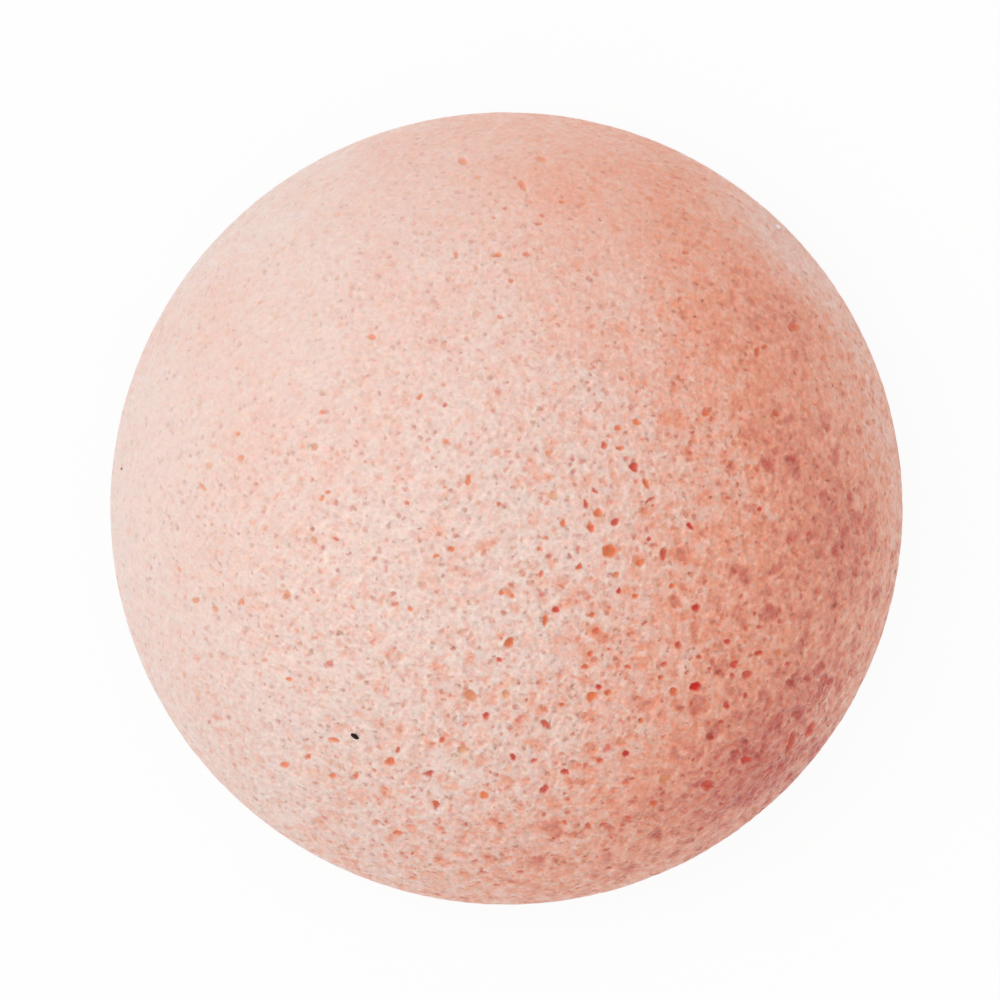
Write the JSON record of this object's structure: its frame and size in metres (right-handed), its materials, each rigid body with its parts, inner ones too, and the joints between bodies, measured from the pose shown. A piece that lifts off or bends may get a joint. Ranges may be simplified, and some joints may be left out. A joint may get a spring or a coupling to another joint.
{
  "type": "konjac sponge",
  "caption": "Half-ball konjac facial sponge in pink foam with fine open pores, a round dome for washing and a flat back to hold or rest it on.",
  "frame": {"origin": "middle of the flat back, which is also the lowest point", "axes": "+Z out of the top of the dome; +X to the picture's right and +Y to its top"},
  "size_m": [0.08, 0.08, 0.04],
  "materials": {
    "konjac_foam": "matte",
    "corm_skin": "matte",
    "konjac_flour": "matte"
  },
  "bodies": {
    "root": {"sponge_body": "konjac_foam", "corm_flecks": "corm_skin", "konjac_grain": "konjac_flour"}
  },
  "joints": []
}
